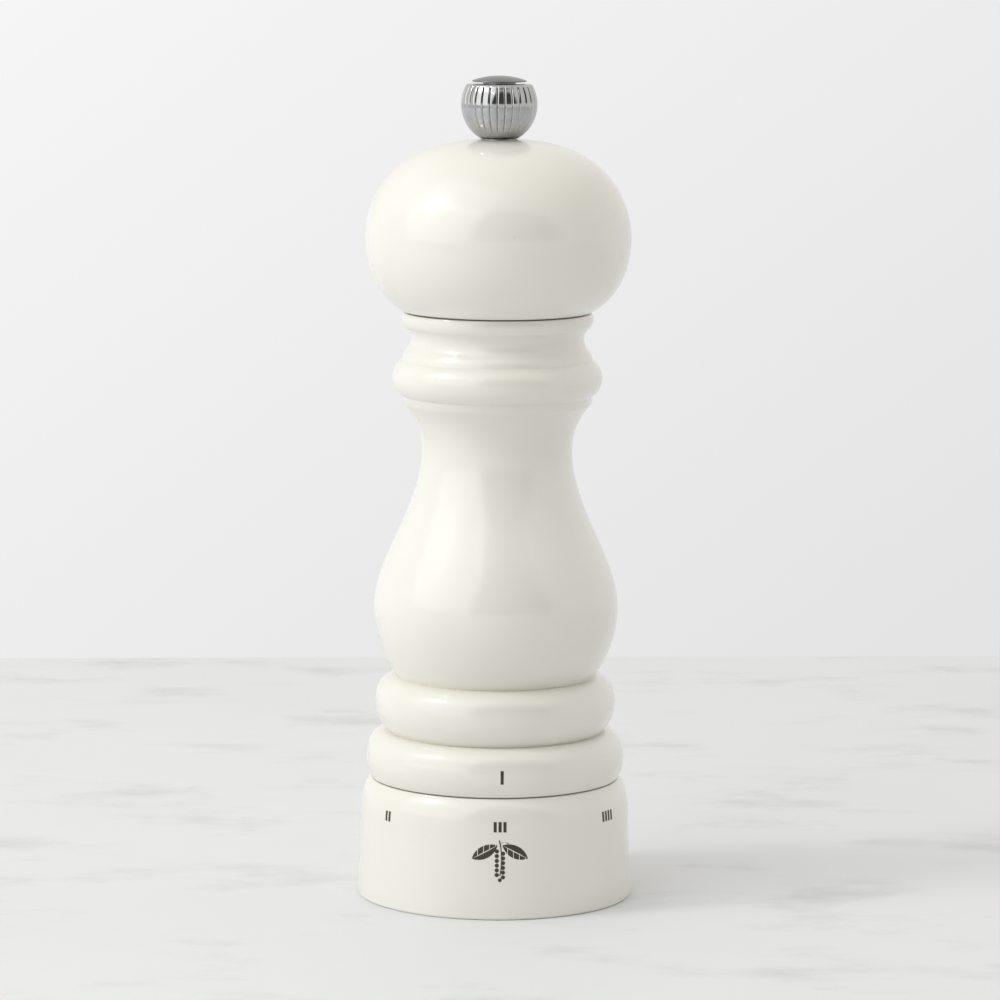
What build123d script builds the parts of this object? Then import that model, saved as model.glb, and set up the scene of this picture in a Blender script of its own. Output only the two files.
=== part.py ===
"""Pepper mill with a turned wooden body, a turning head and a six-step grind adjuster in its base ring.

Units are millimetres. +Z is up along the turning axis, z = 0 is the underside of the base ring,
and -Y is the front, where the grind setting is read.
"""
import math
import os

from build123d import *

os.makedirs("parts", exist_ok=True)

# ---- Heights -------------------------------------------------------------------------------
TOTAL_HEIGHT = 178.0          # base ring to the top of the knob's cap
SEAM = 0.3                    # gap between parts that turn against each other
RING_TOP = 25.7
BODY_FOOT = RING_TOP + SEAM
BODY_TOP = 127.15
HEAD_FOOT = BODY_TOP + SEAM
HEAD_TOP = 164.45
KNOB_FOOT = HEAD_TOP + SEAM
KNOB_TOP = 176.3
RECESS_FLOOR = HEAD_TOP - 0.6  # floor of the washer's recess in the crown

# ---- Outside radii -------------------------------------------------------------------------
RING_R = 29.95
BELLY_R = 26.5
WAIST_R = 16.3
NECK_BEAD_R = 22.7
COLLAR_R = 20.7
HEAD_R = 28.65
KNOB_R = 8.15
KNOB_FOOT_R = 4.3
RECESS_R = 4.1

# ---- Body bores ----------------------------------------------------------------------------
THROAT_R = 16.3               # bottom of the body, above the grinder
CHAMBER_R = 17.5              # peppercorn chamber
BORE_R = 12.2                 # through the waist
MOUTH_R = 15.0                # counterbore that takes the head's spigot
MOUTH_FLOOR = 121.2
SPIGOT_R = 14.7
SPIGOT_FOOT = 121.8

# ---- Drive shaft ---------------------------------------------------------------------------
SHAFT_SQUARE = 6.0            # across flats
JOURNAL_R = SHAFT_SQUARE / 2
ROTOR_SQUARE = 4.2            # seat of the grinding rotor
TIP_R = 2.5                   # M5 tip for the knob
TAIL_R = 2.0                  # M4 tail for the rotor nut
RUN_FIT = 0.05                # radial clearance of running fits
SHAFT_LOW, TAIL_TOP, ROTOR_TOP, JOURNAL_TOP, SQUARE_TOP, SHAFT_HIGH = 1.2, 4.4, 24.7, 40.0, 155.5, 171.4

# ---- Grind adjuster ------------------------------------------------------------------------
SETTINGS = 6
SETTING_PITCH = 54.0          # degrees from one setting to the next
THREAD_R = 19.5               # adjuster thread of 2 mm lead, seen as a plain cylinder
NUT_R = 21.95
SKIRT_R = 18.6
RACEWAY_R = 20.5              # circle on which the detent ball runs
BALL_R = 1.2
FLANGE_R, FLANGE_FOOT = 24.0, 23.5
SCREW_CIRCLE_R = 20.3

# ---- Grinder -------------------------------------------------------------------------------
STATOR_R = 14.15
STATOR_FOOT, STATOR_TOP = 5.0, 19.0
ROTOR_R = 11.5
FINE_TEETH = 36
COARSE_TEETH = 8


# ============================ body ==========================================================

with BuildPart() as body_shell:
    with BuildSketch(Plane.XZ):
        with BuildLine():
            foot_bead = ThreePointArc((27.0, BODY_FOOT), (28.1, 29.8), (27.75, 32.6))
            foot_roll = ThreePointArc(foot_bead @ 1, (26.6, 34.9), (23.5, 36.1))
            low_bead = ThreePointArc(foot_roll @ 1, (26.15, 41.6), (25.95, 44.3))
            low_roll = ThreePointArc(low_bead @ 1, (24.9, 46.6), (21.6, 48.1))
            belly_foot = ThreePointArc(low_roll @ 1, (25.05, 54.7), (BELLY_R, 63.3))
            belly = Bezier(belly_foot @ 1, (BELLY_R, 73.7), (WAIST_R, 84.8), (WAIST_R, 97.3))
            sweep_up = TangentArc(belly @ 1, (20.5, 107.7), tangent=(0, 1))
            step = Line(sweep_up @ 1, (20.7, 109.2))
            neck_bead = ThreePointArc(step @ 1, (NECK_BEAD_R, 113.2), (20.65, 117.0))
            cove_foot = ThreePointArc(neck_bead @ 1, (20.25, 118.3), (19.5, 119.4))
            cove = ThreePointArc(cove_foot @ 1, (18.75, 121.3), (19.6, 123.0))
            collar = ThreePointArc(cove @ 1, (COLLAR_R, 125.2), (20.35, BODY_TOP))
            Polyline(collar @ 1, (MOUTH_R, BODY_TOP), (MOUTH_R, MOUTH_FLOOR), (BORE_R, MOUTH_FLOOR),
                     (BORE_R, 86.0), (CHAMBER_R, 76.0), (CHAMBER_R, 38.0), (THROAT_R, 34.0),
                     (THROAT_R, BODY_FOOT), (27.0, BODY_FOOT))
        make_face()
    revolve(axis=Axis.Z)
    mouth_edges = body_shell.edges().filter_by(GeomType.CIRCLE).group_by(Axis.Z)[-1]
    chamfer(mouth_edges.sort_by(SortBy.RADIUS)[0], length=0.8)
    # slot across the foot for the bearing bridge
    with Locations((0, 0, BODY_FOOT)):
        Box(38.6, 9.4, 1.6, align=(Align.CENTER, Align.CENTER, Align.MIN), mode=Mode.SUBTRACT)
    # pilot holes for the housing screws
    with BuildSketch(Plane.XY.offset(BODY_FOOT)):
        with PolarLocations(SCREW_CIRCLE_R, 3, start_angle=30):
            Circle(1.3)
    extrude(amount=8.0, mode=Mode.SUBTRACT)
    # blind hole behind the detent ball
    with BuildSketch(Plane.XY.offset(BODY_FOOT)):
        with Locations((0, RACEWAY_R)):
            Circle(1.4)
    extrude(amount=5.2, mode=Mode.SUBTRACT)
body_shell.part.label = "body_shell"

with BuildPart() as grinder_housing:
    with BuildSketch(Plane.XZ):
        with BuildLine():
            Polyline((THROAT_R, BODY_FOOT), (FLANGE_R, BODY_FOOT), (FLANGE_R, FLANGE_FOOT),
                     (SKIRT_R, FLANGE_FOOT), (SKIRT_R, 17.8), (18.1, 17.8), (18.1, 16.7),
                     (SKIRT_R, 16.7), (SKIRT_R, 13.9), (SKIRT_R - 0.6, 13.3), (THROAT_R, 13.3),
                     close=True)
        make_face()
    revolve(axis=Axis.Z)
    # keyways that stop the stator carrier from turning
    with PolarLocations(THROAT_R - 0.4, 3, start_angle=90):
        with Locations((0, 0, 13.3)):
            Box(3.2, 4.2, 9.2, align=(Align.CENTER, Align.CENTER, Align.MIN), mode=Mode.SUBTRACT)
    # countersunk screw holes in the flange
    with PolarLocations(SCREW_CIRCLE_R, 3, start_angle=30):
        with Locations((0, 0, FLANGE_FOOT)):
            Cylinder(1.35, 2.5, align=(Align.CENTER, Align.CENTER, Align.MIN), mode=Mode.SUBTRACT)
            Cone(2.65, 1.35, 1.4, align=(Align.CENTER, Align.CENTER, Align.MIN), mode=Mode.SUBTRACT)
    with Locations((0, RACEWAY_R, FLANGE_FOOT)):
        Cylinder(BALL_R + RUN_FIT, 2.5, align=(Align.CENTER, Align.CENTER, Align.MIN), mode=Mode.SUBTRACT)
grinder_housing.part.label = "grinder_housing"

with BuildPart() as housing_screws:
    with PolarLocations(SCREW_CIRCLE_R, 3, start_angle=30):
        with Locations((0, 0, FLANGE_FOOT)):
            Cone(2.6, 1.25, 1.35, align=(Align.CENTER, Align.CENTER, Align.MIN))
            Cylinder(1.25, 9.4, align=(Align.CENTER, Align.CENTER, Align.MIN))
        # cross recess
        with Locations((0, 0, FLANGE_FOOT)):
            Box(2.6, 0.6, 0.9, align=(Align.CENTER, Align.CENTER, Align.MIN), mode=Mode.SUBTRACT)
            Box(0.6, 2.6, 0.9, align=(Align.CENTER, Align.CENTER, Align.MIN), mode=Mode.SUBTRACT)
housing_screws.part.label = "housing_screws"

with BuildPart() as bearing_bridge:
    with BuildSketch(Plane.XY.offset(BODY_FOOT)):
        Rectangle(38.0, 9.0)
        Circle(6.2)
        Circle(4.5, mode=Mode.SUBTRACT)
    extrude(amount=1.5)
    chamfer(bearing_bridge.edges().filter_by(Axis.Z).filter_by(GeomType.LINE).group_by(Axis.X)[0], 1.0)
    chamfer(bearing_bridge.edges().filter_by(Axis.Z).filter_by(GeomType.LINE).group_by(Axis.X)[-1], 1.0)
bearing_bridge.part.label = "bearing_bridge"

with BuildPart() as bearing_bush:
    with Locations((0, 0, BODY_FOOT)):
        Cylinder(4.45, 1.5, align=(Align.CENTER, Align.CENTER, Align.MIN))
        Cylinder(JOURNAL_R + RUN_FIT, 1.5, align=(Align.CENTER, Align.CENTER, Align.MIN), mode=Mode.SUBTRACT)
bearing_bush.part.label = "bearing_bush"

with BuildPart() as retaining_ring:
    with BuildSketch(Plane.XY.offset(16.8)):
        Circle(20.2)
        Circle(18.15, mode=Mode.SUBTRACT)
        with Locations((0, -19.0)):
            Rectangle(9.0, 5.0, mode=Mode.SUBTRACT)
    extrude(amount=0.9)
retaining_ring.part.label = "retaining_ring"

with BuildPart() as detent_ball:
    with Locations((0, RACEWAY_R, 23.8)):
        Sphere(BALL_R)
detent_ball.part.label = "detent_ball"

with BuildPart() as detent_spring:
    with BuildLine():
        detent_path = Helix(pitch=0.9, height=5.4, radius=0.9, center=(0, RACEWAY_R, 25.3))
    with BuildSketch(Plane(origin=detent_path @ 0, z_dir=detent_path % 0)):
        Circle(0.2)
    sweep(path=detent_path, is_frenet=True)
detent_spring.part.label = "detent_spring"


# ============================ base ring and its adjuster nut ================================

with BuildPart() as base_ring:
    with BuildSketch(Plane.XZ):
        with BuildLine():
            toe = ThreePointArc((29.35, 0), (29.78, 0.18), (RING_R, 0.6))
            wall = ThreePointArc(toe @ 1, (29.45, 9.5), (29.25, 18.4))
            shoulder = Bezier(wall @ 1, (29.2, 22.0), (28.5, 24.2), (27.0, RING_TOP))
            Polyline(shoulder @ 1, (24.4, RING_TOP), (24.4, 23.2), (22.0, 23.2), (22.0, 4.5), (21.0, 4.5),
                     (21.0, 1.5), (22.5, 0), (29.35, 0))
        make_face()
    revolve(axis=Axis.Z)
base_ring.part.label = "base_ring"

with BuildPart() as adjuster_nut:
    with BuildSketch(Plane.XZ):
        with BuildLine():
            Polyline((THREAD_R, 4.6), (NUT_R, 4.6), (NUT_R, 23.2), (19.0, 23.2), (19.0, 18.0),
                     (20.7, 18.0), (20.7, 14.0), (THREAD_R, 13.4), close=True)
        make_face()
    revolve(axis=Axis.Z)
    # raceway of the detent ball, with one dimple for each setting
    with Locations((0, 0, 23.8)):
        Torus(RACEWAY_R, BALL_R + 0.2, mode=Mode.SUBTRACT)
    for setting in range(SETTINGS):
        dimple_angle = math.radians(90 - (2 - setting) * SETTING_PITCH)
        with Locations((RACEWAY_R * math.cos(dimple_angle), RACEWAY_R * math.sin(dimple_angle), 23.7)):
            Sphere(BALL_R + 0.3, mode=Mode.SUBTRACT)
adjuster_nut.part.label = "adjuster_nut"


# ============================ stator and its carrier ========================================

with BuildPart() as stator_carrier:
    with BuildSketch(Plane.XZ):
        with BuildLine():
            Polyline((STATOR_R + 0.05, STATOR_FOOT), (16.0, STATOR_FOOT), (16.0, 7.5),
                     (THREAD_R - RUN_FIT, 7.5), (THREAD_R - RUN_FIT, 12.0), (16.0, 12.0),
                     (16.0, 21.0), (15.6, 21.0), (STATOR_R + 0.05, STATOR_TOP), close=True)
        make_face()
    revolve(axis=Axis.Z)
    # keys that slide in the housing's keyways
    with PolarLocations(16.35, 3, start_angle=90):
        with Locations((0, 0, 11.5)):
            Box(1.7, 3.6, 9.5, align=(Align.CENTER, Align.CENTER, Align.MIN))
stator_carrier.part.label = "stator_carrier"

with BuildPart() as stator_ring:
    with BuildSketch(Plane.XZ):
        with BuildLine():
            Polyline((12.1, STATOR_FOOT), (STATOR_R, STATOR_FOOT), (STATOR_R, STATOR_TOP),
                     (12.9, STATOR_TOP), (11.5, 9.5), close=True)
        make_face()
    revolve(axis=Axis.Z)
    # fine teeth in the lower band, coarse slanting channels above them
    with PolarLocations(11.75, FINE_TEETH):
        with Locations(Location((0, 0, 6.6), (0, 6, 0))):
            Box(1.0, 0.55, 5.4, mode=Mode.SUBTRACT)
    with PolarLocations(12.3, COARSE_TEETH):
        with Locations(Location((0, 0, 15.5), (-28, 0, 0))):
            Cylinder(1.3, 14.0, mode=Mode.SUBTRACT)
stator_ring.part.label = "stator_ring"


# ============================ drive shaft and what turns with it ============================

with BuildPart() as drive_shaft:
    with BuildSketch(Plane.XY.offset(SHAFT_LOW)):
        Circle(TAIL_R)
    extrude(amount=TAIL_TOP - SHAFT_LOW)
    with BuildSketch(Plane.XY.offset(TAIL_TOP)):
        Rectangle(ROTOR_SQUARE, ROTOR_SQUARE)
    extrude(amount=ROTOR_TOP - TAIL_TOP)
    with BuildSketch(Plane.XY.offset(ROTOR_TOP)):
        Circle(JOURNAL_R)
    extrude(amount=JOURNAL_TOP - ROTOR_TOP)
    with BuildSketch(Plane.XY.offset(JOURNAL_TOP)):
        Rectangle(SHAFT_SQUARE, SHAFT_SQUARE)
    extrude(amount=SQUARE_TOP - JOURNAL_TOP)
    chamfer(drive_shaft.faces().sort_by(Axis.Z)[-1].edges(), length=0.6)
    with BuildSketch(Plane.XY.offset(SQUARE_TOP)):
        Circle(TIP_R)
    extrude(amount=SHAFT_HIGH - SQUARE_TOP)
    chamfer(drive_shaft.faces().sort_by(Axis.Z)[-1].edges(), length=0.5)
drive_shaft.part.label = "drive_shaft"

with BuildPart() as rotor:
    with BuildSketch(Plane.XZ):
        with BuildLine():
            Polyline((0, TAIL_TOP), (ROTOR_R - 0.5, TAIL_TOP), (ROTOR_R, 4.9), (10.8, 9.5),
                     (6.0, 19.0), (5.0, 20.2), (5.0, ROTOR_TOP), (0, ROTOR_TOP), close=True)
        make_face()
    revolve(axis=Axis.Z)
    with PolarLocations(11.35, FINE_TEETH - 3):
        with Locations(Location((0, 0, 6.6), (12, -9, 0))):
            Box(1.0, 0.6, 6.0, mode=Mode.SUBTRACT)
    with PolarLocations(9.6, COARSE_TEETH - 1):
        with Locations(Location((0, 0, 14.5), (24, -27, 0))):
            Cylinder(1.5, 15.0, mode=Mode.SUBTRACT)
    with BuildSketch(Plane.XY.offset(TAIL_TOP)):
        Rectangle(ROTOR_SQUARE + 0.1, ROTOR_SQUARE + 0.1)
    extrude(amount=ROTOR_TOP - TAIL_TOP, mode=Mode.SUBTRACT)
rotor.part.label = "rotor"

with BuildPart() as lock_washer:
    with Locations((0, 0, 3.7)):
        Cylinder(3.8, 0.6, align=(Align.CENTER, Align.CENTER, Align.MIN))
        Cylinder(TAIL_R + 0.1, 0.6, align=(Align.CENTER, Align.CENTER, Align.MIN), mode=Mode.SUBTRACT)
lock_washer.part.label = "lock_washer"

with BuildPart() as rotor_nut:
    with BuildSketch(Plane.XY.offset(1.5)):
        RegularPolygon(radius=3.5, side_count=6, major_radius=False)
        Circle(TAIL_R + 0.05, mode=Mode.SUBTRACT)
    extrude(amount=2.2)
    chamfer(rotor_nut.edges().filter_by(GeomType.CIRCLE), length=0.25)
rotor_nut.part.label = "rotor_nut"

with BuildPart() as thrust_washer:
    with Locations((0, 0, ROTOR_TOP)):
        Cylinder(5.6, 1.0, align=(Align.CENTER, Align.CENTER, Align.MIN))
        Cylinder(JOURNAL_R + 0.1, 1.0, align=(Align.CENTER, Align.CENTER, Align.MIN), mode=Mode.SUBTRACT)
thrust_washer.part.label = "thrust_washer"

with BuildPart() as grinder_spring:
    with BuildLine():
        spring_path = Helix(pitch=1.9, height=9.5, radius=4.1, center=(0, 0, 28.45))
    with BuildSketch(Plane(origin=spring_path @ 0, z_dir=spring_path % 0)):
        Circle(0.5)
    sweep(path=spring_path, is_frenet=True)
grinder_spring.part.label = "grinder_spring"

with BuildPart() as spring_seat:
    with Locations((0, 0, 38.9)):
        Cylinder(5.4, 1.1, align=(Align.CENTER, Align.CENTER, Align.MIN))
        Cylinder(JOURNAL_R + 0.1, 1.1, align=(Align.CENTER, Align.CENTER, Align.MIN), mode=Mode.SUBTRACT)
    fillet(spring_seat.edges().filter_by(GeomType.CIRCLE).sort_by(SortBy.RADIUS)[-2:], radius=0.25)
spring_seat.part.label = "spring_seat"


# ============================ head ==========================================================

with BuildPart() as head_shell:
    with BuildSketch(Plane.XZ):
        with BuildLine():
            under = Bezier((HEAD_R, 143.3), (HEAD_R, 135.0), (24.9, 130.1), (20.6, HEAD_FOOT + 0.1))
            foot = Line(under @ 1, (20.35, HEAD_FOOT))
            Polyline(foot @ 1, (SPIGOT_R, HEAD_FOOT), (SPIGOT_R, SPIGOT_FOOT + 0.8),
                     (SPIGOT_R - 0.8, SPIGOT_FOOT), (11.05, SPIGOT_FOOT), (11.05, 123.4), (4.7, 123.4),
                     (4.7, 157.0), (2.9, 157.0), (2.9, RECESS_FLOOR), (RECESS_R, RECESS_FLOOR),
                     (RECESS_R, HEAD_TOP))
            dome = TangentArc((HEAD_R, 143.3), (17.0, 161.7), tangent=(0, 1))
            Bezier(dome @ 1, (14.4, 162.93), (10.2, 164.35), (RECESS_R, HEAD_TOP))
        make_face()
    revolve(axis=Axis.Z)
    # pilot holes for the drive plate's screws
    with BuildSketch(Plane.XY.offset(123.4)):
        with Locations((8, 0), (-8, 0)):
            Circle(1.3)
    extrude(amount=7.5, mode=Mode.SUBTRACT)
head_shell.part.label = "head_shell"

with BuildPart() as drive_plate:
    with BuildSketch(Plane.XY.offset(SPIGOT_FOOT)):
        Circle(11.0)
        Rectangle(SHAFT_SQUARE + 2 * RUN_FIT, SHAFT_SQUARE + 2 * RUN_FIT, mode=Mode.SUBTRACT)
    extrude(amount=1.6)
    with Locations((8, 0, SPIGOT_FOOT), (-8, 0, SPIGOT_FOOT)):
        Cylinder(1.35, 1.6, align=(Align.CENTER, Align.CENTER, Align.MIN), mode=Mode.SUBTRACT)
        Cone(2.65, 1.35, 1.4, align=(Align.CENTER, Align.CENTER, Align.MIN), mode=Mode.SUBTRACT)
drive_plate.part.label = "drive_plate"

with BuildPart() as plate_screws:
    with Locations((8, 0, SPIGOT_FOOT), (-8, 0, SPIGOT_FOOT)):
        Cone(2.6, 1.25, 1.35, align=(Align.CENTER, Align.CENTER, Align.MIN))
        Cylinder(1.25, 8.6, align=(Align.CENTER, Align.CENTER, Align.MIN))
        Box(2.6, 0.6, 0.9, align=(Align.CENTER, Align.CENTER, Align.MIN), mode=Mode.SUBTRACT)
        Box(0.6, 2.6, 0.9, align=(Align.CENTER, Align.CENTER, Align.MIN), mode=Mode.SUBTRACT)
plate_screws.part.label = "plate_screws"


# ============================ knob ==========================================================

with BuildPart() as knob_washer:
    with Locations((0, 0, RECESS_FLOOR + SEAM)):
        Cylinder(RECESS_R - 0.2, 0.4, align=(Align.CENTER, Align.CENTER, Align.MIN))
        Cylinder(TIP_R + 0.1, 0.4, align=(Align.CENTER, Align.CENTER, Align.MIN), mode=Mode.SUBTRACT)
knob_washer.part.label = "knob_washer"

KNOB_FLUTES = 30
with BuildPart() as knob_shell:
    with BuildSketch(Plane.XZ):
        with BuildLine():
            ball_side = ThreePointArc((KNOB_FOOT_R, KNOB_FOOT), (KNOB_R, 171.2), (7.0, KNOB_TOP))
            Polyline(ball_side @ 1, (3.6, KNOB_TOP), (3.6, KNOB_FOOT), ball_side @ 0)
        make_face()
    revolve(axis=Axis.Z)
    # flutes that run out before the foot and just under the rim
    with BuildLine(Plane.XZ):
        flute_path = ThreePointArc((5.3, KNOB_FOOT), (KNOB_R + 0.16, 171.0), (7.36, KNOB_TOP + 0.3))
    with BuildPart(mode=Mode.PRIVATE) as flute_cutter:
        with BuildSketch(Plane(origin=flute_path @ 0, z_dir=flute_path % 0)):
            Circle(0.36)
        sweep(path=flute_path)
    with PolarLocations(0, KNOB_FLUTES):
        add(flute_cutter.part, mode=Mode.SUBTRACT)
knob_shell.part.label = "knob_shell"

with BuildPart() as knob_insert:
    with Locations((0, 0, KNOB_FOOT + 0.3)):
        Cylinder(3.55, 8.45, align=(Align.CENTER, Align.CENTER, Align.MIN))
        Cylinder(TIP_R + RUN_FIT, 7.2, align=(Align.CENTER, Align.CENTER, Align.MIN), mode=Mode.SUBTRACT)
knob_insert.part.label = "knob_insert"

with BuildPart() as knob_cap:
    with BuildSketch(Plane.XZ):
        with BuildLine():
            crown = ThreePointArc((0, TOTAL_HEIGHT), (3.2, 177.72), (5.75, 177.0))
            Polyline(crown @ 1, (5.9, 176.8), (5.8, 176.6), (3.5, 176.6), (3.5, 173.8), (0, 173.8),
                     (0, TOTAL_HEIGHT))
        make_face()
    revolve(axis=Axis.Z)
knob_cap.part.label = "knob_cap"


for name in (body_shell, grinder_housing, housing_screws, bearing_bridge, bearing_bush, retaining_ring,
             detent_ball, detent_spring, base_ring, adjuster_nut, stator_carrier, stator_ring, drive_shaft,
             rotor, lock_washer, rotor_nut, thrust_washer, grinder_spring, spring_seat, head_shell,
             drive_plate, plate_screws, knob_washer, knob_shell, knob_insert, knob_cap):
    export_step(name.part, f"parts/{name.part.label}.step")
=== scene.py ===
"""The looks of the pepper mill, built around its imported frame.

Everything is in metres in the frame's own axes: +Z up the turning axis, -Y the front.
Outlines are drawn in millimetres and scaled as they are drawn.
"""
import math

import bpy
from mathutils import Matrix, Vector


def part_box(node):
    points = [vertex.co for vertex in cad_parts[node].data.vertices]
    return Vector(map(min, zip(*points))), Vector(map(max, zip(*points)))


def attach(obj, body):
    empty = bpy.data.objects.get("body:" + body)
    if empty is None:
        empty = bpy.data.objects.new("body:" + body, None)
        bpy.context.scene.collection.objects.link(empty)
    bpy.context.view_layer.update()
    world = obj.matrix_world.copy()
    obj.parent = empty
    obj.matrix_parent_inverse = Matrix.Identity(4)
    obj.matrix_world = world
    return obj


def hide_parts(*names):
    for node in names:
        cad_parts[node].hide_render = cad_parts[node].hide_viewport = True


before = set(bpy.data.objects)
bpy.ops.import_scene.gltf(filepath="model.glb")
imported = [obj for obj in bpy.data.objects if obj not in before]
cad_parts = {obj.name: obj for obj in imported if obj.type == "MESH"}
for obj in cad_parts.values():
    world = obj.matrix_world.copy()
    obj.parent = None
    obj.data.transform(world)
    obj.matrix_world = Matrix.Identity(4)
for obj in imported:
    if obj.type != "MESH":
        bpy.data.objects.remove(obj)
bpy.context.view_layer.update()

MM = 0.001
TURN = 2 * math.pi
ROUND_STEPS = 144          # faces round a turned piece


# ---- Workshop: drawing, turning and finishing ------------------------------------------------

def clear_selection():
    """Nothing stays selected, so that the next operator acts on its own piece alone."""
    if bpy.context.mode != "OBJECT":
        bpy.ops.object.mode_set(mode="OBJECT")
    bpy.ops.object.select_all(action="DESELECT")


def take(piece):
    """Makes piece the one selected, active object."""
    clear_selection()
    piece.select_set(True)
    bpy.context.view_layer.objects.active = piece
    return piece


def named(name):
    """Names the object that was added last, and its mesh."""
    piece = bpy.context.object
    piece.name = name
    piece.data.name = name
    return piece


def settle(piece):
    """Puts a piece's place into its mesh and leaves its object at the origin."""
    take(piece)
    bpy.ops.object.transform_apply(location=True, rotation=True, scale=True)
    return piece


def modify(piece, kind, **settings):
    """Adds a modifier, sets it and applies it."""
    take(piece)
    modifier = piece.modifiers.new(kind.title(), kind)
    for key, value in settings.items():
        setattr(modifier, key, value)
    bpy.ops.object.modifier_apply(modifier=modifier.name)
    return piece


def tidy_mesh(piece, reach=0.001 * MM):
    """Merges doubles and turns every face outwards."""
    take(piece)
    bpy.ops.object.mode_set(mode="EDIT")
    bpy.ops.mesh.select_all(action="SELECT")
    bpy.ops.mesh.remove_doubles(threshold=reach)
    bpy.ops.mesh.normals_make_consistent(inside=False)
    bpy.ops.object.mode_set(mode="OBJECT")
    return piece


def ease_edges(piece, width=0.15, corner=35, rows=2):
    """Rounds the sharp edges a little, as turning, moulding and lacquer leave them."""
    return modify(piece, "BEVEL", width=width * MM, segments=rows, limit_method="ANGLE",
                  angle_limit=math.radians(corner), use_clamp_overlap=True)


def smooth(piece, corner=35):
    take(piece)
    bpy.ops.object.shade_smooth_by_angle(angle=math.radians(corner))
    return piece


class Outline:
    """An outline in the XZ plane, drawn from point to point as (radius, height) in millimetres."""

    def __init__(self, name, x, z):
        clear_selection()
        bpy.ops.mesh.primitive_plane_add(size=MM, location=(x * MM, 0, z * MM))
        self.piece = settle(named(name))
        bpy.ops.object.mode_set(mode="EDIT")
        bpy.ops.mesh.select_mode(type="VERT")
        bpy.ops.mesh.select_all(action="SELECT")
        bpy.ops.mesh.merge(type="CENTER")
        self.x, self.z = x, z

    def to(self, *points):
        """Straight runs to each point in turn."""
        for x, z in points:
            step = ((x - self.x) * MM, 0, (z - self.z) * MM)
            bpy.ops.mesh.extrude_region_move(TRANSFORM_OT_translate={"value": step})
            self.x, self.z = x, z
        return self

    def arc(self, via, end, facet=4.0):
        """A circular arc through via to end, with one step for each facet degrees."""
        (ax, az), (bx, bz), (cx, cz) = (self.x, self.z), via, end
        det = 2 * (ax * (bz - cz) + bx * (cz - az) + cx * (az - bz))
        a2, b2, c2 = ax * ax + az * az, bx * bx + bz * bz, cx * cx + cz * cz
        ox = (a2 * (bz - cz) + b2 * (cz - az) + c2 * (az - bz)) / det
        oz = (a2 * (cx - bx) + b2 * (ax - cx) + c2 * (bx - ax)) / det
        start_angle = math.atan2(az - oz, ax - ox)
        sweep = (math.atan2(cz - oz, cx - ox) - start_angle) % TURN
        if (math.atan2(bz - oz, bx - ox) - start_angle) % TURN > sweep:
            sweep -= TURN
        return self.turn_about(ox, oz, sweep, facet)

    def tangent_arc(self, direction, end, facet=4.0):
        """A circular arc that leaves along direction and reaches end."""
        dx, dz = direction
        size = math.hypot(dx, dz)
        nx, nz = -dz / size, dx / size
        gx, gz = end[0] - self.x, end[1] - self.z
        radius = (gx * gx + gz * gz) / (2 * (gx * nx + gz * nz))
        ox, oz = self.x + nx * radius, self.z + nz * radius
        start_angle = math.atan2(self.z - oz, self.x - ox)
        sweep = (math.atan2(end[1] - oz, end[0] - ox) - start_angle) % TURN
        if radius < 0:
            sweep -= TURN
        return self.turn_about(ox, oz, sweep, facet)

    def turn_about(self, ox, oz, sweep, facet):
        steps = max(2, math.ceil(abs(math.degrees(sweep)) / facet))
        bpy.ops.mesh.spin(steps=steps, angle=sweep, center=(ox * MM, 0, oz * MM), axis=(0, 1, 0))
        reach = math.hypot(self.x - ox, self.z - oz)
        end_angle = math.atan2(self.z - oz, self.x - ox) + sweep
        self.x, self.z = ox + reach * math.cos(end_angle), oz + reach * math.sin(end_angle)
        return self

    def curve(self, first, second, end, steps=28):
        """A cubic Bezier stretch with the handles first and second."""
        start = (self.x, self.z)
        for i in range(1, steps + 1):
            t = i / steps
            shares = ((1 - t) ** 3, 3 * t * (1 - t) ** 2, 3 * t * t * (1 - t), t ** 3)
            corners = (start, first, second, end)
            self.to([sum(s * c[k] for s, c in zip(shares, corners)) for k in (0, 1)])
        return self

    def turned(self, steps=ROUND_STEPS):
        """Spins the finished outline about the mill's axis into a closed piece."""
        bpy.ops.mesh.select_all(action="SELECT")
        bpy.ops.mesh.remove_doubles(threshold=0.001 * MM)
        bpy.ops.mesh.select_all(action="SELECT")
        bpy.ops.mesh.spin(steps=steps, angle=TURN, center=(0, 0, 0), axis=(0, 0, 1))
        return tidy_mesh(self.piece)


def cut(piece, *tools):
    """Cuts the tools out of a piece and throws them away."""
    for tool in tools:
        modify(piece, "BOOLEAN", operation="DIFFERENCE", object=tool, solver="EXACT")
        bpy.data.objects.remove(tool)
    return piece


def radius_of(point):
    return math.hypot(point.x, point.y)


def stand_for(piece, node, body):
    """The finished piece takes the node's place on its body."""
    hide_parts(node)
    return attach(piece, body)


# ---- Finishes --------------------------------------------------------------------------------

class Value:
    """A shader socket that adds a Math node for each operator used on it."""

    def __init__(self, finish, socket):
        self.finish, self.socket = finish, socket

    def maths(self, operation, *inputs):
        sockets = {i: v for i, v in enumerate(inputs)}
        return self.finish.add("ShaderNodeMath", {"operation": operation}, sockets)

    def __add__(self, other):
        return self.maths("ADD", self, other)

    def __sub__(self, other):
        return self.maths("SUBTRACT", self, other)

    def __rsub__(self, other):
        return self.maths("SUBTRACT", other, self)

    def __mul__(self, other):
        return self.maths("MULTIPLY", self, other)

    __radd__, __rmul__ = __add__, __mul__

    def clamped(self, low, high):
        """0 below low, 1 above high, eased between them."""
        return self.finish.add("ShaderNodeMapRange", {"interpolation_type": "SMOOTHSTEP"},
                               {"Value": self, "From Min": low, "From Max": high})


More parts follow.
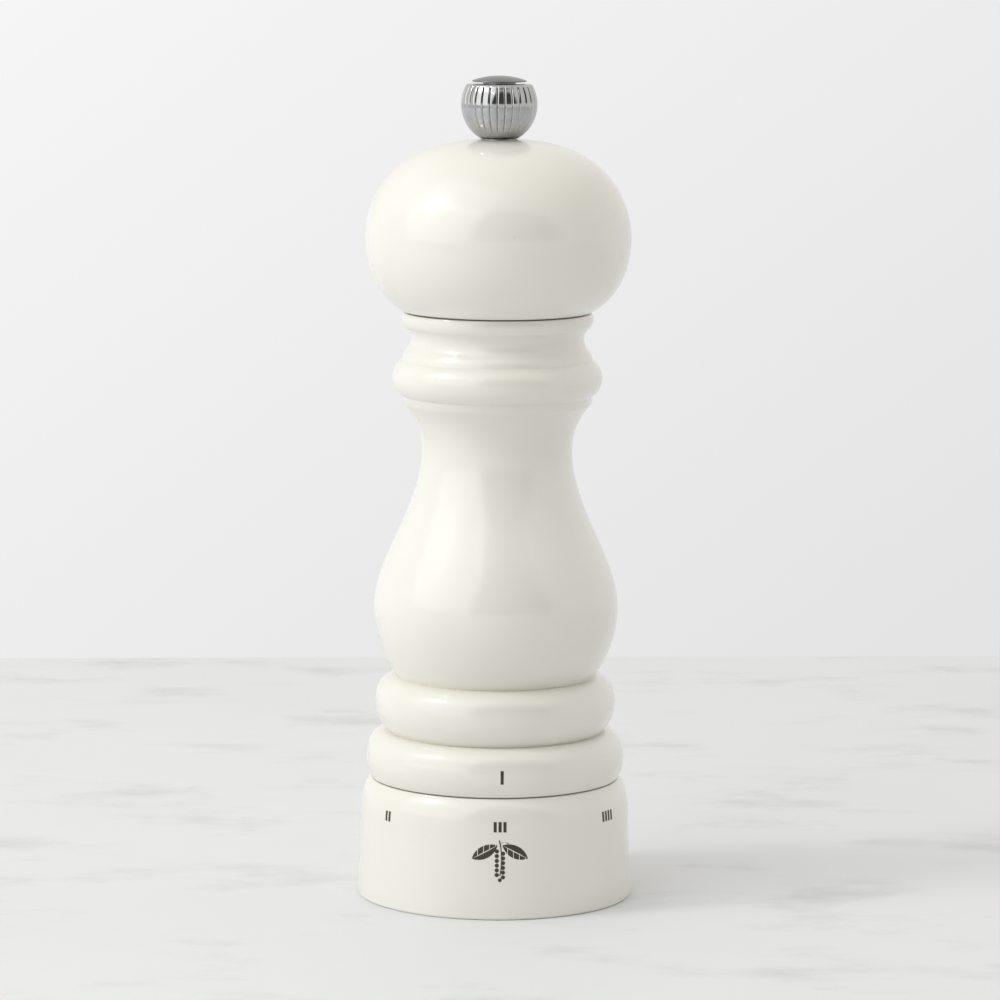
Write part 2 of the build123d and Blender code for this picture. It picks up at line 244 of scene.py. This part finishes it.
class Finish:
    """A material under construction: a Principled shader and the nodes that feed it."""

    def __init__(self, name, **constants):
        self.material = bpy.data.materials.new(name)
        self.material.use_nodes = True
        self.tree = self.material.node_tree
        self.shader = self.tree.nodes["Principled BSDF"]
        for key, value in constants.items():
            self.shader.inputs[key.replace("_", " ").title().replace("Ior", "IOR")].default_value = value

    def add(self, kind, settings=None, sockets=None, output=0):
        """Adds one node, sets it up, links or fills its sockets and returns one of its outputs."""
        node = self.tree.nodes.new(kind)
        for key, value in (settings or {}).items():
            setattr(node, key, value)
        for key, value in (sockets or {}).items():
            if isinstance(value, Value):
                self.tree.links.new(value.socket, node.inputs[key])
            else:
                node.inputs[key].default_value = value
        return Value(self, node.outputs[output])

    def place(self, scale=(1, 1, 1)):
        """Object coordinates, in millimetres, stretched by scale."""
        where = self.add("ShaderNodeTexCoord", output="Object")
        size = tuple(s / MM for s in scale)
        return self.add("ShaderNodeMapping", {}, {"Vector": where, "Scale": size})

    def noise(self, size, detail=2.0, roughness=0.5, stretch=(1, 1, 1)):
        """Soft noise with features about size millimetres across."""
        return self.add("ShaderNodeTexNoise", {}, {"Vector": self.place(stretch), "Scale": 1 / size,
                                                   "Detail": detail, "Roughness": roughness})

    def blend(self, mask, low, high):
        """A colour that goes from low to high with mask."""
        return self.add("ShaderNodeMix", {"data_type": "RGBA"}, {0: mask, 6: low, 7: high}, output=2)

    def bump(self, height, depth):
        """Relief of depth millimetres on the surface."""
        normal = self.add("ShaderNodeBump", {}, {"Height": height, "Distance": depth * MM, "Strength": 1.0})
        self.feed("Normal", normal)

    def feed(self, name, value):
        self.tree.links.new(value.socket, self.shader.inputs[name])
        return self


def lacquer():
    """Ivory gloss lacquer: opaque, clear-coated, with a faint orange peel and hairline turning marks."""
    finish = Finish("ivory_lacquer", roughness=0.34, ior=1.5, coat_weight=1.0, coat_roughness=0.075,
                    coat_ior=1.5)
    cloud = finish.noise(38, detail=2)
    dust = finish.noise(0.8, detail=0).clamped(0.87, 0.90)
    ivory = finish.blend(cloud.clamped(0.3, 0.7), (0.805, 0.785, 0.712, 1), (0.835, 0.820, 0.756, 1))
    finish.feed("Base Color", finish.blend(dust * 0.15, ivory, (0.42, 0.38, 0.28, 1)))
    finish.feed("Roughness", finish.noise(9, detail=3) * 0.10 + 0.29)
    peel = finish.noise(1.3, detail=1)
    turning = finish.noise(0.9, detail=1, stretch=(0.02, 0.02, 1))
    finish.bump(peel * 0.7 + turning * 0.3, 0.004)
    return finish.material


def bare_wood():
    """Beech as the cutters leave it: long grain up the mill, short ray flecks, a dry surface."""
    finish = Finish("bare_beech", ior=1.45)
    rings = finish.noise(5, detail=3, stretch=(1, 1, 0.05))
    flecks = finish.noise(0.6, detail=2, stretch=(1, 1, 0.12)).clamped(0.60, 0.72)
    grain = finish.blend(rings.clamped(0.35, 0.65), (0.50, 0.29, 0.15, 1), (0.63, 0.41, 0.24, 1))
    finish.feed("Base Color", finish.blend(flecks * 0.6, grain, (0.30, 0.15, 0.07, 1)))
    finish.feed("Roughness", rings * 0.2 + 0.52)
    finish.bump(rings * 0.4 + flecks * 0.6, 0.03)
    return finish.material


def chrome(name, dark, bright, roughness, brushed=0.0):
    """Chrome plate with a trace of handling marks, and fine circular brushing on a satin piece."""
    finish = Finish(name, metallic=1.0)
    smudge = finish.noise(4, detail=4)
    finish.feed("Base Color", finish.blend(smudge.clamped(0.3, 0.7), dark, bright))
    finish.feed("Roughness", smudge * 0.07 + roughness)
    brushing = finish.noise(0.3, detail=2, stretch=(1, 1, 0.2))
    finish.bump(finish.noise(1.6, detail=2) * (1 - brushed) + brushing * brushed, 0.003)
    return finish.material


def ink():
    """Dark olive transfer print, a little uneven at its edges."""
    finish = Finish("printed_ink", roughness=0.45, coat_weight=0.35, coat_roughness=0.15)
    patch = finish.noise(0.5, detail=3)
    finish.feed("Base Color", finish.blend(patch, (0.024, 0.019, 0.004, 1), (0.048, 0.038, 0.010, 1)))
    finish.bump(patch, 0.004)
    return finish.material


def steel(name, dark, bright, roughness, line=0.25, stretch=(0.05, 0.05, 1)):
    """Machined steel: fine tool lines that run round the piece, and a cloudy tone."""
    finish = Finish(name, metallic=1.0)
    lines = finish.noise(line, detail=2, stretch=stretch)
    cloud = finish.noise(3, detail=3)
    finish.feed("Base Color", finish.blend(lines * 0.5 + cloud * 0.5, dark, bright))
    finish.feed("Roughness", lines * 0.16 + (cloud * 0.08 + roughness))
    finish.bump(lines, 0.006)
    return finish.material


def plastic(name, dark, light, roughness, grain=0.35):
    """Injection-moulded plastic with a fine spark-eroded grain."""
    finish = Finish(name, ior=1.46)
    speck = finish.noise(grain, detail=3)
    cloud = finish.noise(6, detail=2)
    finish.feed("Base Color", finish.blend(cloud, dark, light))
    finish.feed("Roughness", speck * 0.18 + roughness)
    finish.bump(speck, 0.015)
    return finish.material


LACQUER, WOOD, INK = lacquer(), bare_wood(), ink()
CHROME = chrome("polished_chrome", (0.45, 0.455, 0.46, 1), (0.51, 0.515, 0.52, 1), 0.03)
# The cap's satin chrome has a base colour far darker than real chrome's: painted shade that darkens the whole
# cap.
SHADE_DARKENED_SATIN = chrome("satin_chrome_painted_shade", (0.19, 0.195, 0.20, 1), (0.225, 0.23, 0.235, 1), 0.24, brushed=0.7)
HARD_STEEL = steel("hardened_steel", (0.09, 0.09, 0.095, 1), (0.26, 0.26, 0.27, 1), 0.30)
BRIGHT_STEEL = steel("plated_steel", (0.42, 0.42, 0.43, 1), (0.62, 0.62, 0.63, 1), 0.16)
BRASS = steel("turned_brass", (0.56, 0.38, 0.13, 1), (0.80, 0.60, 0.28, 1), 0.18)
BLACK_PLASTIC = plastic("black_plastic", (0.012, 0.012, 0.013, 1), (0.022, 0.022, 0.024, 1), 0.42)
ACETAL = plastic("natural_acetal", (0.66, 0.64, 0.56, 1), (0.74, 0.72, 0.65, 1), 0.30, grain=0.6)


def coat(piece, *materials):
    """Gives a new piece its materials, the first on every face."""
    piece.data.materials.clear()
    for material in materials:
        piece.data.materials.append(material)
    return piece


def recoat(piece, chosen, slot):
    """The faces for which chosen(centre) is true take the material in that slot."""
    take(piece)
    bpy.ops.object.mode_set(mode="EDIT")
    bpy.ops.mesh.select_all(action="DESELECT")
    bpy.ops.object.mode_set(mode="OBJECT")
    for face in piece.data.polygons:
        face.select = chosen(face.center)
    bpy.ops.object.mode_set(mode="EDIT")
    piece.active_material_index = slot
    bpy.ops.object.material_slot_assign()
    bpy.ops.object.mode_set(mode="OBJECT")
    return piece


# ---- Heights and radii of the turned pieces --------------------------------------------------

def span(node):
    """Lowest and highest point of a node, and its largest radius, in millimetres."""
    low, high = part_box(node)
    return low.z / MM, high.z / MM, max(high.x, -low.x) / MM


RING_FOOT, RING_TOP, RING_R = span("base_ring")
BODY_FOOT, BODY_TOP, _ = span("body_shell")
SPIGOT_FOOT, HEAD_TOP, HEAD_R = span("head_shell")
HEAD_FOOT = BODY_TOP + (BODY_FOOT - RING_TOP)
KNOB_FOOT, KNOB_TOP, KNOB_R = span("knob_shell")
MILL_TOP = span("knob_cap")[1]

THROAT_R, CHAMBER_R, BORE_R, MOUTH_R = 16.3, 17.5, 12.2, 15.0
WAIST_R, BELLY_R, SPIGOT_R = 16.3, 26.5, 14.7
RECESS_FLOOR, RECESS_R = HEAD_TOP - 0.6, 4.1
SCREW_CIRCLE_R, RACEWAY_R = 20.3, 20.5


def turned_body():
    """The hollow body: two foot beads, belly, waist, neck bead, cove and collar, bored right through."""
    outline = Outline("body_turning", 27.0, BODY_FOOT)
    outline.arc((28.1, 29.8), (27.75, 32.6)).arc((26.6, 34.9), (23.5, 36.1))
    outline.arc((26.15, 41.6), (25.95, 44.3)).arc((24.9, 46.6), (21.6, 48.1))
    outline.arc((25.05, 54.7), (BELLY_R, 63.3), 2)
    outline.curve((BELLY_R, 73.7), (WAIST_R, 84.8), (WAIST_R, 97.3), 34)
    outline.tangent_arc((0, 1), (20.5, 107.7)).to((20.7, 109.2))
    outline.arc((22.7, 113.2), (20.65, 117.0)).arc((20.25, 118.3), (19.5, 119.4))
    outline.arc((18.7, 121.6), (19.9, 124.0)).arc((20.65, 125.4), (20.35, BODY_TOP))
    outline.to((MOUTH_R + 0.8, BODY_TOP), (MOUTH_R, BODY_TOP - 0.8), (MOUTH_R, 121.2), (BORE_R, 121.2),
               (BORE_R, 86.0), (CHAMBER_R, 76.0), (CHAMBER_R, 38.0), (THROAT_R, 34.0),
               (THROAT_R, BODY_FOOT), (27.0, BODY_FOOT))
    piece = outline.turned()
    tools = [bridge_slot()] + [drill(SCREW_CIRCLE_R, angle, 1.3, BODY_FOOT, 8.0) for angle in (30, 150, 270)]
    cut(piece, *tools, drill(RACEWAY_R, 90, 1.4, BODY_FOOT, 5.2))
    smooth(ease_edges(piece, 0.07))
    coat(piece, LACQUER, WOOD)
    recoat(piece, lambda p: radius_of(p) < inner_edge(p.z / MM) * MM, 1)
    return stand_for(piece, "body_shell", "mill_body")


def inner_edge(height):
    """Inside this radius, in millimetres, the body's wood is bare at a height."""
    if height > BODY_TOP - 7:
        return MOUTH_R + 0.6
    return CHAMBER_R + 0.3 if height > 60 and height < 77 or height < 55 else BORE_R + 2.8


def drill(radius, angle, size, foot, depth):
    """A round cutter of radius size, standing on foot at a place on a circle."""
    clear_selection()
    at = (radius * math.cos(math.radians(angle)) * MM, radius * math.sin(math.radians(angle)) * MM)
    bpy.ops.mesh.primitive_cylinder_add(vertices=24, radius=size * MM, depth=(depth + 1) * MM,
                                        location=(*at, (foot + (depth - 1) / 2) * MM))
    return settle(named("cutter"))


def bridge_slot():
    clear_selection()
    bpy.ops.mesh.primitive_cube_add(size=1, location=(0, 0, (BODY_FOOT + 0.3) * MM))
    bpy.context.object.scale = (38.6 * MM, 9.4 * MM, 2.6 * MM)
    return settle(named("cutter"))


def turned_ring():
    """The adjusting ring: a flared wall with a soft shoulder, counterbored for the housing's flange."""
    outline = Outline("ring_turning", 29.35, RING_FOOT)
    outline.arc((29.78, 0.18), (RING_R, 0.6), 12).arc((29.45, 9.5), (29.25, 18.4), 1)
    outline.curve((29.2, 22.0), (28.5, 24.2), (27.0, RING_TOP), 18)
    outline.to((24.4, RING_TOP), (24.4, 23.2), (22.0, 23.2), (22.0, 4.5), (21.0, 4.5), (21.0, 1.5),
               (22.5, RING_FOOT), (29.35, RING_FOOT))
    piece = smooth(ease_edges(outline.turned(), 0.07))
    coat(piece, LACQUER, WOOD)
    recoat(piece, lambda p: radius_of(p) < 22.6 * MM, 1)
    return stand_for(piece, "base_ring", "adjusting_ring")


def turned_head():
    """The head: a round grip with a flattened crown, a spigot below it and a stepped bore."""
    outline = Outline("head_turning", HEAD_R, 143.3)
    outline.tangent_arc((0, 1), (17.0, 161.7), 2)
    outline.curve((14.4, 162.93), (10.2, 164.35), (RECESS_R, HEAD_TOP), 20)
    outline.to((RECESS_R, RECESS_FLOOR), (2.9, RECESS_FLOOR), (2.9, 157.0), (4.7, 157.0),
               (4.7, 123.4), (11.05, 123.4), (11.05, SPIGOT_FOOT),
               (SPIGOT_R - 0.8, SPIGOT_FOOT), (SPIGOT_R, SPIGOT_FOOT + 0.8),
               (SPIGOT_R, HEAD_FOOT), (20.35, HEAD_FOOT), (20.6, HEAD_FOOT + 0.1))
    outline.curve((24.9, 130.1), (HEAD_R, 135.0), (HEAD_R, 143.3))
    piece = outline.turned()
    cut(piece, drill(8, 0, 1.3, 123.4, 7.5), drill(8, 180, 1.3, 123.4, 7.5))
    smooth(ease_edges(piece, 0.07))
    coat(piece, LACQUER, WOOD)
    spigot_top, bore_top, bore_r = (HEAD_FOOT - 0.1) * MM, 162 * MM, 4.8 * MM
    recoat(piece, lambda p: p.z < spigot_top or p.z < bore_top and radius_of(p) < bore_r, 1)
    return stand_for(piece, "head_shell", "head")


def fluted_knob():
    """The knob's barrel: thirty narrow flutes between broad reeds, and a seat for the cap."""
    flutes, columns = 30, 12
    outline = Outline("knob_turning", 3.6, KNOB_FOOT)
    outline.to((4.3, KNOB_FOOT)).arc((KNOB_R - 0.02, 171.0), (7.32, 175.6), 3)
    outline.arc((7.12, 176.02), (6.75, KNOB_TOP), 12)
    outline.to((3.6, KNOB_TOP), (3.6, KNOB_FOOT))
    piece = outline.turned(flutes * columns)
    press_flutes(piece, flutes, columns)
    smooth(piece, 50)
    coat(piece, CHROME)
    return stand_for(piece, "knob_shell", "knob")


def press_flutes(piece, flutes, columns):
    """Sinks the columns of vertices that lie in the flutes, less so near both ends of the barrel."""
    depths = {0: 1.0, 1: 0.38}
    top, foot = 176.1, KNOB_FOOT + 0.5
    group = piece.vertex_groups.new(name="flutes")
    for vertex in piece.data.vertices:
        height = vertex.co.z / MM
        if radius_of(vertex.co) < 4.1 * MM or not foot < height < top:
            continue
        step = round(math.atan2(vertex.co.y, vertex.co.x) / TURN * flutes * columns) % columns
        fade = min(1.0, (top - height) / 0.6) ** 0.5 * min(1.0, (height - foot) / 1.8)
        group.add([vertex.index], depths.get(min(step, columns - step), 0.0) * fade, "REPLACE")
    modify(piece, "DISPLACE", vertex_group="flutes", mid_level=0.0, strength=-0.24 * MM)


def domed_cap():
    """The knob's cap: a low dome with a thin rolled rim, on a stem."""
    outline = Outline("cap_turning", 0, 173.8)
    outline.to((3.5, 173.8), (3.5, 176.75), (5.7, 176.78))
    outline.arc((5.87, 176.88), (5.78, 177.02), 20).arc((3.2, 177.72), (0, MILL_TOP), 2)
    piece = smooth(outline.turned(96), 40)
    # The cap's chrome is darkened by painted shade in its base colour.
    coat(piece, SHADE_DARKENED_SATIN)
    return stand_for(piece, "knob_cap", "knob")


# ---- The drive shaft -------------------------------------------------------------------------

def combined(piece, other, operation="UNION"):
    modify(piece, "BOOLEAN", operation=operation, object=other, solver="EXACT")
    bpy.data.objects.remove(other)
    return piece


def square_bar(width, low, high, corner):
    """A square bar standing on the axis, its edges rounded by corner."""
    clear_selection()
    bpy.ops.mesh.primitive_cube_add(size=1, location=(0, 0, (low + high) / 2 * MM))
    bpy.context.object.scale = (width * MM, width * MM, (high - low) * MM)
    return ease_edges(settle(named("bar")), corner, rows=3)


def threaded_rod(size, pitch, low, high):
    """A rod with a right-hand ISO thread and a chamfered end at top and bottom."""
    root, crest, chamfer = size / 2 - 0.613 * pitch, size / 2, 0.5 * pitch
    ridge = Outline("thread", root - 0.05, low - pitch)
    ridge.to((crest, low - 0.62 * pitch), (crest, low - 0.50 * pitch), (root - 0.05, low - 0.12 * pitch),
             (root - 0.05, low - pitch))
    bpy.ops.mesh.select_all(action="SELECT")
    bpy.ops.mesh.remove_doubles(threshold=0.001 * MM)
    turns = math.ceil((high - low) / pitch) + 1
    thread = modify(ridge.piece, "SCREW", axis="Z", angle=TURN, screw_offset=pitch * MM, iterations=turns,
                    steps=32, render_steps=32, use_merge_vertices=False)
    bpy.ops.object.mode_set(mode="EDIT")
    bpy.ops.mesh.select_all(action="DESELECT")
    bpy.ops.mesh.select_non_manifold()
    bpy.ops.mesh.fill()
    tidy_mesh(thread)
    core = Outline("core", 0, low - 2).to((root, low - 2), (root, high + 2), (0, high + 2)).turned(48)
    outer = Outline("envelope", 0, low)
    outer.to((crest - chamfer, low), (crest, low + chamfer), (crest, high - chamfer), (crest - chamfer, high),
             (0, high))
    envelope = outer.turned(64)
    return combined(combined(core, thread), envelope, "INTERSECT")


def shaft_bar():
    """The square shaft: a round journal above the rotor's seat, and a thread at either end."""
    shaft = square_bar(6.0, 40.0, 155.5, 0.4)
    journal = Outline("journal", 0, 24.6).to((2.85, 24.6), (3.0, 24.75), (3.0, 40.1), (0, 40.1)).turned(64)
    for other in (journal, square_bar(4.2, 4.3, 24.7, 0.2), threaded_rod(5.0, 0.8, 155.4, 171.4),
                  threaded_rod(4.0, 0.7, 1.2, 4.4)):
        combined(shaft, other)
    shaft = settle(shaft)
    shaft.name = shaft.data.name = "shaft_bar"
    coat(smooth(tidy_mesh(shaft), 30), BRIGHT_STEEL)
    return stand_for(shaft, "drive_shaft", "shaft")


# ---- Printed marks ---------------------------------------------------------------------------

SETTING_PITCH, SETTINGS, REST_SETTING = 54.0, 6, 3
RING_DRIFT = -0.58         # degrees by which the ring stands short of the index mark
BAR_WIDTH, BAR_PITCH, BAR_LOW, BAR_HIGH = 0.66, 1.04, 19.0, 21.2


def printed(piece, ground, reach=4.0):
    """Lays a flat print, drawn in front of the mill, onto the surface behind it and gives it its ink."""
    modify(piece, "SHRINKWRAP", target=ground, wrap_method="PROJECT", use_project_x=False,
           use_project_y=True, use_project_z=False, use_positive_direction=True,
           use_negative_direction=False, project_limit=reach * MM * 10)
    modify(piece, "DISPLACE", mid_level=0.0, strength=-0.004 * MM, direction="Y")
    modify(piece, "SOLIDIFY", thickness=0.02 * MM, offset=1.0, use_even_offset=True)
    return coat(tidy_mesh(piece, 0.0001 * MM), INK)


def bar(centre, width, low, high):
    """One upright bar, a fine grid standing in front of the mill."""
    clear_selection()
    bpy.ops.mesh.primitive_grid_add(x_subdivisions=5, y_subdivisions=12, size=1,
                                    location=(centre * MM, -34 * MM, (low + high) / 2 * MM),
                                    rotation=(math.pi / 2, 0, 0))
    bpy.context.object.scale = (width * MM, (high - low) * MM, 1)
    return settle(named("bar"))


def joined(pieces, name):
    clear_selection()
    for piece in pieces:
        piece.select_set(True)
    bpy.context.view_layer.objects.active = pieces[0]
    bpy.ops.object.join()
    return named(name)


def setting_numerals(ground):
    """Tally numerals for the six settings, each a setting's pitch further round, rising to the right."""
    numerals = []
    for setting in range(1, SETTINGS + 1):
        bars = [bar((i - (setting - 1) / 2) * BAR_PITCH, BAR_WIDTH, BAR_LOW, BAR_HIGH)
                for i in range(setting)]
        numeral = printed(joined(bars, "numeral"), ground)
        numeral.rotation_euler.z = math.radians((setting - REST_SETTING) * SETTING_PITCH + RING_DRIFT)
        numerals.append(settle(numeral))
    piece = joined(numerals, "setting_numerals")
    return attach(piece, "adjusting_ring")


def leaf(base, tip, bulge):
    """Both halves of a pointed leaf from base to tip, with a bare line where its midrib is."""
    run = Vector((tip[0] - base[0], tip[1] - base[1]))
    across = Vector((-run.y, run.x)).normalized()
    middle = Vector(base) + run * 0.46
    halves = []
    for side in (1, -1):
        outer, inner = middle + across * side * bulge, middle + across * side * 0.10
        outline = Outline("leaf", *base).arc(outer, tip, 12).arc(inner, base, 3)
        halves.append(filled(outline.piece))
    return halves


def filled(piece):
    """Closes a flat loop with one face, divided about its middle so that it can follow a curve."""
    bpy.ops.mesh.select_all(action="SELECT")
    bpy.ops.mesh.remove_doubles(threshold=0.001 * MM)
    bpy.ops.mesh.select_all(action="SELECT")
    bpy.ops.mesh.edge_face_add()
    bpy.ops.mesh.poke()
    bpy.ops.mesh.subdivide(number_cuts=7)
    bpy.ops.object.mode_set(mode="OBJECT")
    return piece


def stalk(start, via, end, width=0.24):
    """A thin curved ribbon."""
    outline = Outline("stalk", *start).arc(via, end, 5)
    bpy.ops.mesh.select_all(action="SELECT")
    bpy.ops.mesh.extrude_region_move(TRANSFORM_OT_translate={"value": (width * MM, 0, 0)})
    bpy.ops.object.mode_set(mode="OBJECT")
    return outline.piece


def berry(x, z, radius):
    clear_selection()
    bpy.ops.mesh.primitive_circle_add(vertices=20, radius=radius * MM, fill_type="TRIFAN",
                                      location=(x * MM, 0, z * MM), rotation=(math.pi / 2, 0, 0))
    return settle(named("berry"))


def pepper_sprig(ground):
    """A small printed sprig under numeral III: two leaves over a hanging spike of peppercorns."""
    parts = [stalk((-0.25, 17.3), (0.1, 15.4), (-0.12, 9.6)), stalk((-0.12, 16.3), (0.9, 16.9), (1.7, 16.4))]
    parts += leaf((0.5, 16.2), (6.0, 13.2), 1.35) + leaf((-0.5, 16.2), (-6.0, 13.2), 1.35)
    for row in range(6):
        z = 14.9 - row * 1.02
        parts += [berry(-0.66, z, 0.46), berry(0.66, z - 0.5, 0.46)]
    parts.append(berry(0, 8.7, 0.42))
    motif = joined(parts, "pepper_sprig")
    motif.location.y = -34 * MM
    piece = printed(settle(motif), ground)
    piece.rotation_euler.z = math.radians(RING_DRIFT)
    settle(piece)
    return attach(piece, "adjusting_ring")


def index_mark(ground):
    """The single bar on the body's lowest bead that the settings are read against."""
    piece = printed(bar(0.13, 0.67, 29.1, 32.0), ground)
    piece.name = "index_mark"
    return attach(piece, "mill_body")


# ---- Making the mill -------------------------------------------------------------------------

body = turned_body()
ring = turned_ring()
turned_head()
fluted_knob()
domed_cap()
shaft_bar()
setting_numerals(ring)
pepper_sprig(ring)
index_mark(body)

FINISHES = {
    BLACK_PLASTIC: ("grinder_housing", "adjuster_nut", "stator_carrier"),
    ACETAL: ("bearing_bush", "thrust_washer"),
    HARD_STEEL: ("rotor", "stator_ring"),
    BRASS: ("knob_insert",),
    BRIGHT_STEEL: ("housing_screws", "bearing_bridge", "retaining_ring", "detent_ball", "detent_spring",
                   "lock_washer", "rotor_nut", "grinder_spring", "spring_seat",
                   "drive_plate", "plate_screws", "knob_washer"),
}
for material, nodes in FINISHES.items():
    for node in nodes:
        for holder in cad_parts[node].material_slots:
            holder.material = material


# ---- Studio ----------------------------------------------------------------------------------

def studio_floor():
    """A pale stone top that the mill stands on; the room beyond its back edge is the world's."""
    clear_selection()
    bpy.ops.mesh.primitive_plane_add(size=1, location=(0, -0.6, 0))
    floor = named("studio_floor")
    floor.scale = (5.0, 1.8, 1)
    settle(floor)
    coat(floor, veined_stone())


def veined_stone():
    """Pale honed stone with soft grey veins."""
    finish = Finish("veined_stone", roughness=0.6)
    ground = finish.blend(finish.noise(70, detail=4), (0.735, 0.745, 0.76, 1), (0.775, 0.785, 0.80, 1))
    veins = finish.noise(30, detail=7, roughness=0.62, stretch=(0.6, 1, 1)).clamped(0.50, 0.74)
    finish.feed("Base Color", finish.blend(veins * 0.8, ground, (0.60, 0.61, 0.625, 1)))
    return finish.material


def soft_light(name, direction, distance, size, watts, tone=(1, 1, 1), shape="RECTANGLE"):
    """An area light that looks at the middle of the mill from a direction."""
    aim = Vector((0, 0, 0.09))
    lamp = bpy.data.lights.new(name, "AREA")
    lamp.shape, lamp.size, lamp.energy, lamp.color = shape, size[0], watts, tone
    lamp.size_y = size[-1]
    holder = bpy.data.objects.new(name, lamp)
    bpy.context.scene.collection.objects.link(holder)
    holder.location = aim + Vector(direction).normalized() * distance
    holder.rotation_euler = (aim - holder.location).to_track_quat("-Z", "Y").to_euler()


def studio_world():
    """A pale room: cooler and paler low down behind the mill, with a dark opening in front of it."""
    world = bpy.data.worlds.new("studio")
    bpy.context.scene.world = world
    world.use_nodes = True
    tree = world.node_tree

    def node(kind, settings, sockets):
        new = tree.nodes.new(kind)
        for key, value in settings.items():
            setattr(new, key, value)
        for key, value in sockets.items():
            if isinstance(value, bpy.types.NodeSocket):
                tree.links.new(value, new.inputs[key])
            else:
                new.inputs[key].default_value = value
        return new.outputs

    ease, dot = {"interpolation_type": "SMOOTHSTEP"}, {"operation": "DOT_PRODUCT"}
    way = node("ShaderNodeTexCoord", {}, {})["Generated"]
    height = node("ShaderNodeSeparateXYZ", {}, {"Vector": way})["Z"]
    facing = node("ShaderNodeVectorMath", dot, {0: way, 1: (-0.19, 0.98, 0.0)})["Value"]
    front = node("ShaderNodeMapRange", ease, {"Value": facing, "From Min": -0.82, "From Max": -0.66,
                                              "To Min": -0.9, "To Max": 0.0})["Result"]
    high = node("ShaderNodeMapRange", ease, {"Value": height, "From Min": 0.02, "From Max": 0.10})["Result"]
    share = node("ShaderNodeMath", {"operation": "MULTIPLY_ADD"}, {0: front, 1: high, 2: 1.0})["Value"]
    strength = node("ShaderNodeMath", {"operation": "MULTIPLY"}, {0: share, 1: WORLD})["Value"]
    back = node("ShaderNodeMapRange", ease, {"Value": facing, "From Min": 0.2, "From Max": 0.6})["Result"]
    low = node("ShaderNodeMapRange", ease, {"Value": height, "From Min": 0.0, "From Max": 0.10,
                                            "To Min": 1.0, "To Max": 0.0})["Result"]
    slant = node("ShaderNodeVectorMath", dot, {0: way, 1: (-0.75, 0.0, 1.0)})["Value"]
    rise = node("ShaderNodeMapRange", {}, {"Value": slant, "From Min": -0.27, "From Max": 0.01})["Result"]
    plaster = node("ShaderNodeMix", {"data_type": "RGBA"}, {0: rise, 6: PLASTER_FOOT, 7: PLASTER_TOP})[2]
    behind = node("ShaderNodeMath", {"operation": "MULTIPLY"}, {0: back, 1: low})["Value"]
    room = node("ShaderNodeMix", {"data_type": "RGBA"}, {0: behind, 6: ROOM, 7: plaster})[2]
    tree.links.new(strength, tree.nodes["Background"].inputs["Strength"])
    tree.links.new(room, tree.nodes["Background"].inputs["Color"])


def camera():
    """The viewpoint: a long lens a metre away, a little above the mill and to the left of its front."""
    reach, height, pitch, turn, roll, swing = 1.0238, 0.228, 7.88, 2.95, 0.39, 0.041
    lens = bpy.data.cameras.new("camera")
    lens.lens, lens.sensor_width, lens.clip_start = 171.7, 36, 0.05
    holder = bpy.data.objects.new("camera", lens)
    bpy.context.scene.collection.objects.link(holder)
    heading = Matrix.Rotation(math.radians(-turn - swing), 4, "Z")
    tilt = Matrix.Rotation(math.radians(90 - pitch), 4, "X")
    lean = Matrix.Rotation(math.radians(roll), 4, "Z")
    spot = Vector((-reach * math.sin(math.radians(turn)), -reach * math.cos(math.radians(turn)), height))
    holder.matrix_world = Matrix.Translation(spot) @ heading @ tilt @ lean
    bpy.context.scene.camera = holder


WORLD = 0.86                       # strength of the room's own light
ROOM = (1.0, 0.983, 0.945, 1)      # its tone, and that of the plaster low down behind the mill
PLASTER_FOOT, PLASTER_TOP = (0.90, 0.90, 0.90, 1), (1.07, 1.07, 1.07, 1)

bpy.context.scene.view_settings.view_transform = "Standard"
studio_floor()
studio_world()
soft_light("key", (-0.735, -0.20, 0.645), 1.25, (0.30,), 3.2, (0.98, 0.99, 1.0), "DISK")
soft_light("side_box", (-0.775, -0.485, 0.407), 1.3, (1.7, 1.0), 3.8, (0.965, 0.985, 1.0))
soft_light("high_box", (-0.44, -0.37, 0.82), 1.3, (1.2, 0.8), 1.8, (0.965, 0.985, 1.0))
camera()
